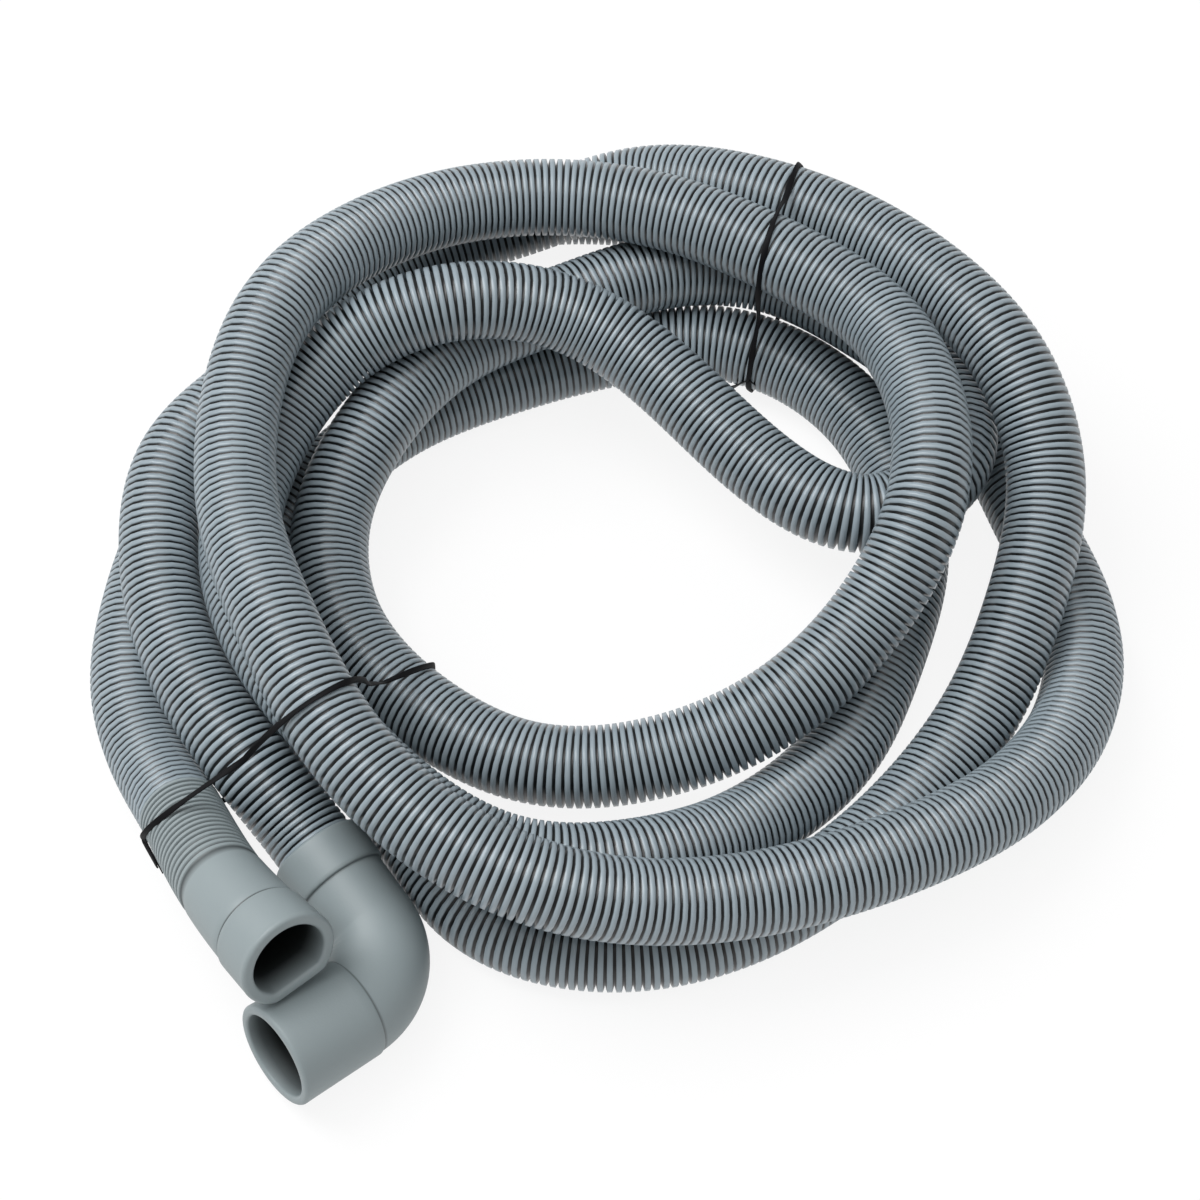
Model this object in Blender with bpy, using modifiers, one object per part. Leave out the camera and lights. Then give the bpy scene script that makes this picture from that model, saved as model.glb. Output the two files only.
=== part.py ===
"""A corrugated drain hose extension, wound into a loose doubled coil and held by two twist ties.
Metres, +Z up, standing on z = 0. The elbow's outlet looks along -X, and the cuff's mouth along -Y."""

from math import asin, cos, pi, radians, sin, sqrt

import bpy
import numpy as np
from mathutils import Matrix, Vector
from mathutils.geometry import convex_hull_2d

MM = 0.001
CLEARANCE = 0.3 * MM

# The hose.
HOSE_DIAMETER = 26.0 * MM
HOSE_WALL = 2.5 * MM
HOSE_RINGS = 122
HOSE_LEAD = 6.0 * MM

# The straight cuff, measured back from the rim of its mouth. Its bore behind the mouth is the hose's.
MOUTH_LENGTH = 15.5 * MM
MOUTH_DIAMETER = 31.6 * MM
MOUTH_START_DIAMETER = 30.4 * MM
MOUTH_BORE = 24.0 * MM
MOUTH_DEPTH = 26.0 * MM
BODY_LENGTH = 25.0 * MM
BODY_DIAMETER = 29.2 * MM
SLEEVE_LENGTH = 39.5 * MM
SLEEVE_FLARE = 1.0 * MM

# The elbow, measured along its axis from the edge of its collar.
COLLAR_LENGTH = 13.5 * MM
COLLAR_WALL = 2.0 * MM
SOCKET_DEPTH = 10.5 * MM
INLET_STRAIGHT = 15.0 * MM
BEND_RADIUS = 20.5 * MM
BEND_START_DIAMETER = 28.4 * MM
BEND_END_DIAMETER = 31.2 * MM
BEND_BORE = 20.0 * MM
OUTLET_LENGTH = 29.0 * MM
OUTLET_START_DIAMETER = 32.2 * MM
OUTLET_DIAMETER = 33.6 * MM
OUTLET_BORE = 27.4 * MM
OUTLET_DEPTH = 25.0 * MM

# Shared by both fittings.
LIP_RADIUS = 1.2 * MM
LIP_STEPS = 3
STEP_SLOPE = 0.4 * MM
BORE_TAPER = 6.0 * MM
BEND_STEPS = 10
TURN_STEPS = 24

# The twist ties: flat ribbons drawn taut round the strands, each with its two ends standing out.
TIE_WIDTH = 2.0 * MM
TIE_THICKNESS = 0.6 * MM
TIE_TAIL = 8.0 * MM
TIE_STEPS = 20
FRONT_TIE_CENTRE = Vector((-110, -3, 26)) * MM
FRONT_TIE_AXIS = Vector((0.05, 0.94, 0.34))
FRONT_TAIL_TOWARDS = Vector((-60, -4, -8))
REAR_TIE_CENTRE = Vector((125, 43, 40)) * MM
REAR_TIE_AXIS = Vector((0.57, -0.82, 0.0))
REAR_TAIL_TOWARDS = Vector((-50, -35, 4))

# Where the elbow's two axes cross, and how much its outlet rises.
ELBOW_CORNER = Vector((-123.9, -82.6, 12.9)) * MM
ELBOW_RISE = radians(10.0)

# The centre line in millimetres, from the rim of the cuff round the coil to just before the elbow.
CENTRE_ROUTE = [
    (-156.7, -73.5, 50.2), (-156, -34, 38), (-149.5, 2, 23.5), (-145, 28, 16.5), (-136, 53, 14), (-118, 77, 13),
    (-88, 103, 13), (-55, 126, 13), (-19, 144, 13), (19, 154, 13), (59, 151, 13), (95, 134, 13),
    (125, 108, 13), (147, 74, 14.5), (160, 37, 15.5), (160, -3, 13.5), (152, -42, 13), (139, -79, 13),
    (124, -116, 13), (95, -143, 18), (58, -154, 26), (18, -152, 34), (-20, -142, 39), (-56, -125, 45),
    (-86, -101, 56), (-104, -65, 64), (-108, -27, 72), (-101, 12, 76), (-88, 50, 74), (-66, 83, 75),
    (-34, 108, 79), (3, 119, 74), (42, 118, 66), (78, 100, 62), (103, 69, 63), (118, 33, 64),
    (126, -6, 64), (114, -44, 66), (88, -73, 63), (54, -86, 46), (15, -88, 35), (-22, -76, 27),
    (-53, -52, 24), (-68.5, -17, 23.5), (-70.5, 23, 25.5), (-53, 57, 30), (-19, 77, 38), (20, 85, 39.8),
    (60, 79, 39), (95.5, 70.2, 37.2), (126.5, 47.9, 34), (139.2, 14.8, 33.5), (142, -21, 35), (119, -55, 39),
    (85, -53, 40), (69, -18, 41), (64, 22, 47), (52, 58, 56.5), (22, 81, 67), (-15, 95, 60),
    (-52, 88, 49), (-83, 63, 46), (-99, 29, 49), (-102, -11, 48), (-97, -48, 42), (-81, -82, 37),
    (-48, -103, 30), (-10, -109, 18), (29, -105, 14), (65, -87, 13), (97, -63, 13), (118, -29, 13),
    (121, 11, 14.5), (104.5, 45.5, 15.5), (72.5, 68.5, 13.5), (35, 82, 13), (-5, 89, 13), (-44, 83, 13),
    (-81, 67, 13), (-100, 36, 14), (-96.5, -4, 15.7), (-94, -42, 14), (-95, -77, 13), (-77, -108, 13),
    (-43, -129, 13), (-4, -136, 13), (36, -133, 14), (74, -123, 21), (108, -105, 33), (138, -79, 45),
    (152, -45, 58), (154, -5, 61), (147, 35, 59), (131, 71, 55), (109, 103, 44), (73, 119, 37),
    (35, 131, 34), (-4, 129, 34), (-42, 117, 37), (-78, 106, 40), (-106, 77, 38), (-120.8, 41, 35),
    (-124.5, -5, 29.8),
]


def clear_scene():
    for old in list(bpy.data.objects):
        bpy.data.objects.remove(old)


def new_collection(name):
    collection = bpy.data.collections.new(name)
    bpy.context.scene.collection.children.link(collection)
    return collection


def plastic(name, colour, roughness):
    material = bpy.data.materials.new(name)
    material.use_nodes = True
    shader = material.node_tree.nodes["Principled BSDF"]
    shader.inputs["Base Color"].default_value = (*colour, 1.0)
    shader.inputs["Roughness"].default_value = roughness
    shader.inputs["Metallic"].default_value = 0.0
    return material


def smooth_curve(points):
    """The natural cubic spline through the points, as a dense polyline."""
    points = np.array(points, float)
    chords = np.linalg.norm(np.diff(points, axis=0), axis=1)
    knots = np.concatenate([[0.0], np.cumsum(chords)])
    last = len(points) - 1
    system = np.eye(last + 1)
    right = np.zeros((last + 1, 3))
    for i in range(1, last):
        before, after = chords[i - 1], chords[i]
        system[i, i - 1 : i + 2] = before, 2 * (before + after), after
        right[i] = 6 * ((points[i + 1] - points[i]) / after - (points[i] - points[i - 1]) / before)
    bends = np.linalg.solve(system, right)
    place = np.linspace(0, knots[-1], 40 * last)
    i = np.clip(np.searchsorted(knots, place) - 1, 0, last - 1)
    span = chords[i][:, None]
    back = (knots[i + 1] - place)[:, None] / span
    ahead = 1 - back
    curved = ((back**3 - back) * bends[i] + (ahead**3 - ahead) * bends[i + 1]) * span**2 / 6
    return back * points[i] + ahead * points[i + 1] + curved


def line_length(line):
    return np.linalg.norm(np.diff(line, axis=0), axis=1).sum()


def along(line, places):
    """The points at some distances along a dense polyline."""
    steps = np.linalg.norm(np.diff(line, axis=0), axis=1)
    lengths = np.concatenate([[0.0], np.cumsum(steps)])
    return np.stack([np.interp(places, lengths, line[:, k]) for k in range(3)], axis=1)


def poly_curve(name, points, collection):
    data = bpy.data.curves.new(name, "CURVE")
    data.dimensions = "3D"
    spline = data.splines.new("POLY")
    spline.points.add(len(points) - 1)
    for point, place in zip(spline.points, points):
        point.co = (*place, 1.0)
    made = bpy.data.objects.new(name, data)
    collection.objects.link(made)
    return made


def guide_curve(name, points, collection):
    guide = poly_curve(name, points, collection)
    guide.hide_render = True
    guide.display_type = "WIRE"
    return guide


def turned_along(name, profile, guide, material, collection):
    """A closed profile of (distance, radius) points, turned about its axis and bent along a guide."""
    mesh = bpy.data.meshes.new(name)
    count = len(profile)
    edges = [(i, (i + 1) % count) for i in range(count)]
    mesh.from_pydata([(distance, radius, 0.0) for distance, radius in profile], edges, [])
    mesh.materials.append(material)
    made = bpy.data.objects.new(name, mesh)
    collection.objects.link(made)
    screw = made.modifiers.new("Turn", "SCREW")
    screw.axis = "X"
    screw.steps = TURN_STEPS
    screw.render_steps = TURN_STEPS
    screw.use_normal_flip = True
    screw.use_merge_vertices = True
    screw.merge_threshold = 0.01 * MM
    bend = made.modifiers.new("Bend", "CURVE")
    bend.object = guide
    bend.deform_axis = "POS_X"
    return made


def lip(end, radius, inwards, into):
    """A quarter round from the end face of a mouth to its side, in the direction of into."""
    points = []
    for step in range(LIP_STEPS + 1):
        angle = 0.5 * pi * step / LIP_STEPS
        distance = end + into * LIP_RADIUS * (1 - cos(angle))
        points.append((distance, radius + inwards * LIP_RADIUS * (1 - sin(angle))))
    return points


def cuff_profile():
    body_start = MOUTH_LENGTH + STEP_SLOPE
    sleeve_start = MOUTH_LENGTH + BODY_LENGTH
    hose_face = sleeve_start + SLEEVE_LENGTH
    hose_bore = HOSE_DIAMETER - 2 * HOSE_WALL
    sleeve_start_diameter = HOSE_DIAMETER + SLEEVE_FLARE
    outside = lip(0.0, MOUTH_DIAMETER / 2, -1, 1) + [
        (MOUTH_LENGTH, MOUTH_START_DIAMETER / 2),
        (body_start, BODY_DIAMETER / 2),
        (sleeve_start, sleeve_start_diameter / 2),
        (hose_face, HOSE_DIAMETER / 2),
    ]
    for step in range(1, BEND_STEPS):
        share = step / BEND_STEPS
        radius = (sleeve_start_diameter * (1 - share) + HOSE_DIAMETER * share) / 2
        outside.insert(-1, (sleeve_start + share * SLEEVE_LENGTH, radius))
    inside = [(hose_face - SLEEVE_LENGTH * step / BEND_STEPS, hose_bore / 2) for step in range(BEND_STEPS)]
    inside += [(MOUTH_DEPTH + BORE_TAPER, hose_bore / 2), (MOUTH_DEPTH, MOUTH_BORE / 2)]
    return outside + inside + lip(0.0, MOUTH_BORE / 2, 1, 1)[::-1]


def elbow_guide_points():
    """The elbow's axis from the collar's edge to the mouth, about the crossing of its two arms."""
    inlet = BEND_RADIUS + INLET_STRAIGHT + COLLAR_LENGTH
    points = [(0.0, inlet, 0.0)]
    for step in range(4 * BEND_STEPS + 1):
        angle = 0.5 * pi * step / (4 * BEND_STEPS)
        points.append((BEND_RADIUS * (cos(angle) - 1), BEND_RADIUS * (1 - sin(angle)), 0.0))
    points.append((-BEND_RADIUS - OUTLET_LENGTH, 0.0, 0.0))
    return points


def elbow_profile():
    bend_start = COLLAR_LENGTH + INLET_STRAIGHT
    bend_length = 0.5 * pi * BEND_RADIUS
    bend_end = bend_start + bend_length
    mouth = bend_end + OUTLET_LENGTH
    socket = HOSE_DIAMETER / 2 + CLEARANCE
    collar = socket + COLLAR_WALL
    outside = lip(0.0, collar, -1, 1) + [
        (COLLAR_LENGTH, collar),
        (COLLAR_LENGTH + STEP_SLOPE, BEND_START_DIAMETER / 2),
    ]
    inside = []
    for step in range(BEND_STEPS + 1):
        share = step / BEND_STEPS
        radius = (BEND_START_DIAMETER * (1 - share) + BEND_END_DIAMETER * share) / 2
        place = bend_start + share * (bend_length - STEP_SLOPE)
        outside.append((place, radius))
        inside.append((place, BEND_BORE / 2))
    outside.append((bend_end, OUTLET_START_DIAMETER / 2))
    outside += lip(mouth, OUTLET_DIAMETER / 2, -1, -1)[::-1]
    mouth_bore = lip(mouth, OUTLET_BORE / 2, 1, -1)
    mouth_bore += [(mouth - OUTLET_DEPTH, OUTLET_BORE / 2)]
    shoulder = SOCKET_DEPTH + CLEARANCE
    collar_bore = [(shoulder, BEND_BORE / 2), (shoulder, socket), (0.0, socket)]
    return outside + mouth_bore + inside[::-1] + collar_bore


def make_hose(route, material, collection):
    hose = poly_curve("drain_hose", route, collection)
    hose.data.bevel_depth = HOSE_DIAMETER / 2
    hose.data.bevel_resolution = 3
    wall = hose.modifiers.new("Wall", "SOLIDIFY")
    wall.thickness = HOSE_WALL
    wall.offset = -1.0
    hose.data.materials.append(material)
    return hose


def taut_loop(line, centre, axis, tail_towards):
    """The ribbon's middle line round every strand that crosses its plane near the centre."""
    axis = axis.normalized()
    across = axis.cross(Vector((0, 0, 1))).normalized()
    up = across.cross(axis)
    radius = HOSE_DIAMETER / 2 + TIE_THICKNESS / 2 + 4 * CLEARANCE
    heights = (line - np.array(centre)) @ np.array(axis)
    corners = []
    for i in np.flatnonzero(heights[:-1] * heights[1:] < 0):
        place = Vector(line[i]) - centre
        if place.length > 2.3 * HOSE_DIAMETER:
            continue
        heading = (Vector(line[i + 1]) - Vector(line[i])).normalized()
        lean = Vector((heading.dot(across), heading.dot(up)))
        longer = 1 / abs(heading.dot(axis)) - 1
        for step in range(TIE_STEPS):
            angle = 2 * pi * step / TIE_STEPS
            offset = radius * Vector((cos(angle), sin(angle)))
            if lean.length > 0.01:
                offset += lean.normalized() * lean.normalized().dot(offset) * longer
            corners.append(Vector((place.dot(across), place.dot(up))) + offset)
    hull = [corners[i] for i in convex_hull_2d(corners)]
    outwards = Vector((tail_towards.dot(across), tail_towards.dot(up))).normalized()
    first = max(range(len(hull)), key=lambda i: hull[i].dot(outwards))
    loop = hull[first:] + hull[:first]
    loop = [loop[0] + outwards * TIE_TAIL] + loop + [loop[-1] + outwards * TIE_TAIL]
    return [centre + across * point.x + up * point.y for point in loop]


def make_tie(name, loop, axis, material, collection):
    half = axis.normalized() * TIE_WIDTH / 2
    verts = [point + side * half for point in loop for side in (-1, 1)]
    faces = [(2 * i, 2 * i + 1, 2 * i + 3, 2 * i + 2) for i in range(len(loop) - 1)]
    mesh = bpy.data.meshes.new(name)
    mesh.from_pydata(verts, [], faces)
    mesh.materials.append(material)
    tie = bpy.data.objects.new(name, mesh)
    collection.objects.link(tie)
    wall = tie.modifiers.new("Thickness", "SOLIDIFY")
    wall.thickness = TIE_THICKNESS
    wall.offset = 0.0
    wall.use_even_offset = True
    return tie


def main():
    clear_scene()
    parts = new_collection("drain_hose_extension")
    guides = new_collection("guides")
    hose_grey = plastic("hose_grey", (0.22, 0.27, 0.29), 0.45)
    fitting_grey = plastic("fitting_grey", (0.27, 0.31, 0.32), 0.55)
    tie_black = plastic("tie_black", (0.012, 0.012, 0.014), 0.4)

    tilt = asin(sqrt(2) * sin(ELBOW_RISE))
    elbow_place = Matrix.Translation(ELBOW_CORNER) @ Matrix.Rotation(tilt, 4, Vector((1, 1, 0)))
    collar_edge = BEND_RADIUS + INLET_STRAIGHT + COLLAR_LENGTH
    hose_end = collar_edge - SOCKET_DEPTH
    run_in = 0.5 * COLLAR_LENGTH + SOCKET_DEPTH
    approach = [elbow_place @ Vector((0, y, 0)) for y in (hose_end + run_in, hose_end)]
    line = smooth_curve([Vector(point) * MM for point in CENTRE_ROUTE] + approach)
    line[:, 2] = np.maximum(line[:, 2], HOSE_DIAMETER / 2)

    cuff_length = MOUTH_LENGTH + BODY_LENGTH + SLEEVE_LENGTH
    cuff_axis = along(line, np.linspace(0, 1.2 * cuff_length, 60))
    cuff_guide = guide_curve("cuff_guide", cuff_axis, guides)
    turned_along("straight_cuff", cuff_profile(), cuff_guide, fitting_grey, parts)
    elbow_axis = [elbow_place @ Vector(point) for point in elbow_guide_points()]
    elbow_guide = guide_curve("elbow_guide", elbow_axis, guides)
    turned_along("elbow_connector", elbow_profile(), elbow_guide, fitting_grey, parts)

    hose_start = cuff_length + CLEARANCE
    whole = line_length(line)
    rings = np.linspace(hose_start + HOSE_LEAD, whole - run_in, HOSE_RINGS - 2)
    make_hose(along(line, [hose_start, *rings, whole]), hose_grey, parts)

    ties = (
        ("front_tie", FRONT_TIE_CENTRE, FRONT_TIE_AXIS, FRONT_TAIL_TOWARDS),
        ("rear_tie", REAR_TIE_CENTRE, REAR_TIE_AXIS, REAR_TAIL_TOWARDS),
    )
    for name, centre, axis, tail_towards in ties:
        loop = taut_loop(line, centre, axis, tail_towards)
        make_tie(name, loop, axis, tie_black, parts)


main()
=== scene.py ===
from math import asin, cos, exp, pi, radians, sin, sqrt

import bpy
import numpy as np
from mathutils import Matrix, Vector
from mathutils.geometry import convex_hull_2d


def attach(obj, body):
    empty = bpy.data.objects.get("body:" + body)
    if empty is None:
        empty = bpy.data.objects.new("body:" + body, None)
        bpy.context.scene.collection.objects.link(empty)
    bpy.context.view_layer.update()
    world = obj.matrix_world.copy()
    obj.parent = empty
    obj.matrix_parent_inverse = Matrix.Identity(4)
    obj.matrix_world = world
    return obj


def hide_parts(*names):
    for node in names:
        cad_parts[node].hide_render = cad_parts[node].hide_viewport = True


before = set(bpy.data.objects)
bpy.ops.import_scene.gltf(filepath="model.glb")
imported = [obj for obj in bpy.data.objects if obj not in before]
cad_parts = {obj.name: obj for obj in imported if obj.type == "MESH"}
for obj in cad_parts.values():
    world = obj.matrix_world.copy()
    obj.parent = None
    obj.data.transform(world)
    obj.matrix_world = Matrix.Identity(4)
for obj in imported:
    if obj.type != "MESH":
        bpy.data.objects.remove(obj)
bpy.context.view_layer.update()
mm = 0.001
print("frame loaded:", sorted(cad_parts))

# One route for everything, in millimetres:
# from the rim of the cuff round the coil to just before the elbow.
centreRoute = [
    (-156.7, -73.5, 50.2), (-156, -34, 38), (-149.5, 2, 23.5), (-145, 28, 16.5), (-136, 53, 14),
    (-118, 77, 13), (-88, 103, 13), (-55, 126, 13), (-19, 144, 13), (19, 154, 13), (59, 151, 13),
    (95, 134, 13), (125, 108, 13), (147, 74, 14.5), (160, 37, 15.5), (160, -3, 13.5),
    (152, -42, 13), (139, -79, 13), (124, -116, 13), (95, -143, 18), (58, -154, 26), (18, -152, 34),
    (-20, -142, 39), (-56, -125, 45), (-86, -101, 56), (-104, -65, 64), (-108, -27, 72),
    (-101, 12, 76), (-88, 50, 74), (-66, 83, 75), (-34, 108, 79), (3, 119, 74), (42, 118, 66),
    (78, 100, 62), (103, 69, 63), (118, 33, 64), (126, -6, 64), (114, -44, 66), (88, -73, 63),
    (54, -86, 46), (15, -88, 35), (-22, -76, 27), (-53, -52, 24), (-68.5, -17, 23.5),
    (-70.5, 23, 25.5), (-53, 57, 30), (-19, 77, 38), (20, 85, 39.8), (60, 79, 39),
    (95.5, 70.2, 37.2), (126.5, 47.9, 34), (139.2, 14.8, 33.5), (142, -21, 35), (119, -55, 39),
    (85, -53, 40), (69, -18, 41), (64, 22, 47), (52, 58, 56.5), (22, 81, 67), (-15, 95, 60),
    (-52, 88, 49), (-83, 63, 46), (-99, 29, 49), (-102, -11, 48), (-97, -48, 42), (-81, -82, 37),
    (-48, -103, 30), (-10, -109, 18), (29, -105, 14), (65, -87, 13), (97, -63, 13), (118, -29, 13),
    (121, 11, 14.5), (104.5, 45.5, 15.5), (72.5, 68.5, 13.5), (35, 82, 13), (-5, 89, 13),
    (-44, 83, 13), (-81, 67, 13), (-100, 36, 14), (-96.5, -4, 15.7), (-94, -42, 14), (-95, -77, 13),
    (-77, -108, 13), (-43, -129, 13), (-4, -136, 13), (36, -133, 14), (74, -123, 21),
    (108, -105, 33), (138, -79, 45), (152, -45, 58), (154, -5, 61), (147, 35, 59), (131, 71, 55),
    (109, 103, 44), (73, 119, 37), (35, 131, 34), (-4, 129, 34), (-42, 117, 37), (-78, 106, 40),
    (-106, 77, 38), (-120.8, 41, 35), (-124.5, -5, 29.8),
]

hose = {
    "diameter": 26.0 * mm,
    "bore": 21.0 * mm,
    "rib": 2.55 * mm,
    "grooveDepth": 2.1 * mm,
    "crestShare": 0.57,
    "sides": 19,
    "boreSides": 12,
    "boreStep": 11.0 * mm,
}
cuff = {
    "mouthLength": 15.5 * mm,
    "mouthDiameter": 31.6 * mm,
    "mouthStartDiameter": 30.4 * mm,
    "mouthBore": 24.0 * mm,
    "mouthDepth": 26.0 * mm,
    "bodyLength": 25.0 * mm,
    "bodyDiameter": 29.2 * mm,
    "sleeveLength": 39.5 * mm,
    "sleeveStartDiameter": 27.0 * mm,
    "sleeveEndDiameter": 26.0 * mm,
    "sleeveRibs": 17,
    "ribDepth": 0.9 * mm,
    "flatShare": 0.80,
    "flatFade": 30.0 * mm,
    "stepWidth": 1.1 * mm,
    "stepShade": 0.8,
    "grooveShade": 0.75,
    "endShade": 0.3,
    "boreShadeReach": 10.0 * mm,
    "sides": 72,
}
elbow = {
    "corner": Vector((-123.9, -82.6, 12.9)) * mm,
    "rise": radians(10.0),
    "collarLength": 13.5 * mm,
    "collarDiameter": 30.6 * mm,
    "socketDepth": 10.5 * mm,
    "inletStraight": 15.0 * mm,
    "bendRadius": 20.5 * mm,
    "bendStartDiameter": 28.4 * mm,
    "bendEndDiameter": 31.2 * mm,
    "bendBore": 20.0 * mm,
    "outletLength": 29.0 * mm,
    "outletStartDiameter": 32.2 * mm,
    "outletDiameter": 33.6 * mm,
    "outletBore": 27.4 * mm,
    "outletDepth": 25.0 * mm,
    "boreShadeReach": 6.0 * mm,
    "stepShade": 0.6,
    "cornerFill": 2.2 * mm,
    "sides": 72,
}


def smoothCurve(points):
    # the natural cubic spline through the points, as a dense polyline
    points = np.array(points, float)
    chords = np.linalg.norm(np.diff(points, axis=0), axis=1)
    knots = np.concatenate([[0.0], np.cumsum(chords)])
    last = len(points) - 1
    system = np.eye(last + 1)
    right = np.zeros((last + 1, 3))
    for i in range(1, last):
        before, after = chords[i - 1], chords[i]
        system[i, i - 1 : i + 2] = before, 2 * (before + after), after
        right[i] = 6 * ((points[i + 1] - points[i]) / after - (points[i] - points[i - 1]) / before)
    bends = np.linalg.solve(system, right)
    place = np.linspace(0, knots[-1], 40 * last)
    i = np.clip(np.searchsorted(knots, place) - 1, 0, last - 1)
    span = chords[i][:, None]
    back = (knots[i + 1] - place)[:, None] / span
    ahead = 1 - back
    curved = ((back**3 - back) * bends[i] + (ahead**3 - ahead) * bends[i + 1]) * span**2 / 6
    return back * points[i] + ahead * points[i + 1] + curved


def lineLength(line):
    return float(np.linalg.norm(np.diff(line, axis=0), axis=1).sum())


def along(line, places):
    steps = np.linalg.norm(np.diff(line, axis=0), axis=1)
    lengths = np.concatenate([[0.0], np.cumsum(steps)])
    return np.stack([np.interp(places, lengths, line[:, k]) for k in range(3)], axis=1)


def blend(low, high, share):
    return low * (1 - share) + high * share


def newMesh(name, verts, faces):
    mesh = bpy.data.meshes.new(name)
    mesh.from_pydata([tuple(v) for v in verts], [], faces)
    made = bpy.data.objects.new(name, mesh)
    bpy.context.scene.collection.objects.link(made)
    return made


# Shader node groups, each built once and placed in the materials that need it.


def newGroup(name, inputs, outputs):
    group = bpy.data.node_groups.new(name, "ShaderNodeTree")
    for label, kind, value in inputs:
        socket = group.interface.new_socket(label, in_out="INPUT", socket_type=kind)
        socket.default_value = value
    for label, kind in outputs:
        group.interface.new_socket(label, in_out="OUTPUT", socket_type=kind)
    start = group.nodes.new("NodeGroupInput")
    end = group.nodes.new("NodeGroupOutput")
    start.location = (-900, 0)
    end.location = (900, 0)
    return group, start, end


def addNode(tree, kind, place, **settings):
    node = tree.nodes.new(kind)
    node.location = place
    for key, value in settings.items():
        setattr(node, key, value)
    return node


def makeMouldedSkin():
    # a slightly uneven moulded skin: cloudy colour, fine grain, and a gloss that varies a little
    inputs = [
        ("Colour", "NodeSocketColor", (0.25, 0.3, 0.31, 1.0)),
        ("Cloud", "NodeSocketFloat", 0.06),
        ("Cloud Size", "NodeSocketFloat", 60.0),
        ("Grain Size", "NodeSocketFloat", 1500.0),
        ("Roughness", "NodeSocketFloat", 0.5),
        ("Gloss Change", "NodeSocketFloat", 0.08),
    ]
    outputs = [
        ("Colour", "NodeSocketColor"),
        ("Roughness", "NodeSocketFloat"),
        ("Height", "NodeSocketFloat"),
    ]
    group, start, end = newGroup("Moulded Skin", inputs, outputs)
    links = group.links
    coords = addNode(group, "ShaderNodeTexCoord", (-900, -300))
    cloud = addNode(group, "ShaderNodeTexNoise", (-650, 100))
    cloud.inputs["Detail"].default_value = 3.0
    grain = addNode(group, "ShaderNodeTexNoise", (-650, -250))
    grain.inputs["Detail"].default_value = 2.0
    links.new(coords.outputs["Object"], cloud.inputs["Vector"])
    links.new(coords.outputs["Object"], grain.inputs["Vector"])
    links.new(start.outputs["Cloud Size"], cloud.inputs["Scale"])
    links.new(start.outputs["Grain Size"], grain.inputs["Scale"])
    centred = addNode(group, "ShaderNodeMath", (-400, 100), operation="SUBTRACT")
    centred.inputs[1].default_value = 0.5
    links.new(cloud.outputs["Fac"], centred.inputs[0])
    amount = addNode(group, "ShaderNodeMath", (-200, 200), operation="MULTIPLY_ADD")
    amount.inputs[2].default_value = 1.0
    links.new(centred.outputs[0], amount.inputs[0])
    links.new(start.outputs["Cloud"], amount.inputs[1])
    tint = addNode(group, "ShaderNodeVectorMath", (100, 200), operation="SCALE")
    links.new(start.outputs["Colour"], tint.inputs[0])
    links.new(amount.outputs[0], tint.inputs["Scale"])
    links.new(tint.outputs[0], end.inputs["Colour"])
    gloss = addNode(group, "ShaderNodeMath", (100, 0), operation="MULTIPLY_ADD")
    links.new(centred.outputs[0], gloss.inputs[0])
    links.new(start.outputs["Gloss Change"], gloss.inputs[1])
    links.new(start.outputs["Roughness"], gloss.inputs[2])
    links.new(gloss.outputs[0], end.inputs["Roughness"])
    links.new(grain.outputs["Fac"], end.inputs["Height"])
    return group


def newMaterial(name):
    material = bpy.data.materials.new(name)
    material.use_nodes = True
    nodes = material.node_tree.nodes
    shader = nodes["Principled BSDF"]
    shader.location = (300, 0)
    return material, material.node_tree, shader


def useSkin(tree, group, colour, roughness, cloud, cloudSize, grainSize, glossChange):
    skin = addNode(tree, "ShaderNodeGroup", (-500, 0))
    skin.node_tree = group
    skin.inputs["Colour"].default_value = (*colour, 1.0)
    skin.inputs["Roughness"].default_value = roughness
    skin.inputs["Cloud"].default_value = cloud
    skin.inputs["Cloud Size"].default_value = cloudSize
    skin.inputs["Grain Size"].default_value = grainSize
    skin.inputs["Gloss Change"].default_value = glossChange
    return skin


def addGrain(tree, shader, skin, strength, distance):
    bump = addNode(tree, "ShaderNodeBump", (0, -250))
    bump.inputs["Strength"].default_value = strength
    bump.inputs["Distance"].default_value = distance
    tree.links.new(skin.outputs["Height"], bump.inputs["Height"])
    tree.links.new(bump.outputs["Normal"], shader.inputs["Normal"])


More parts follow.
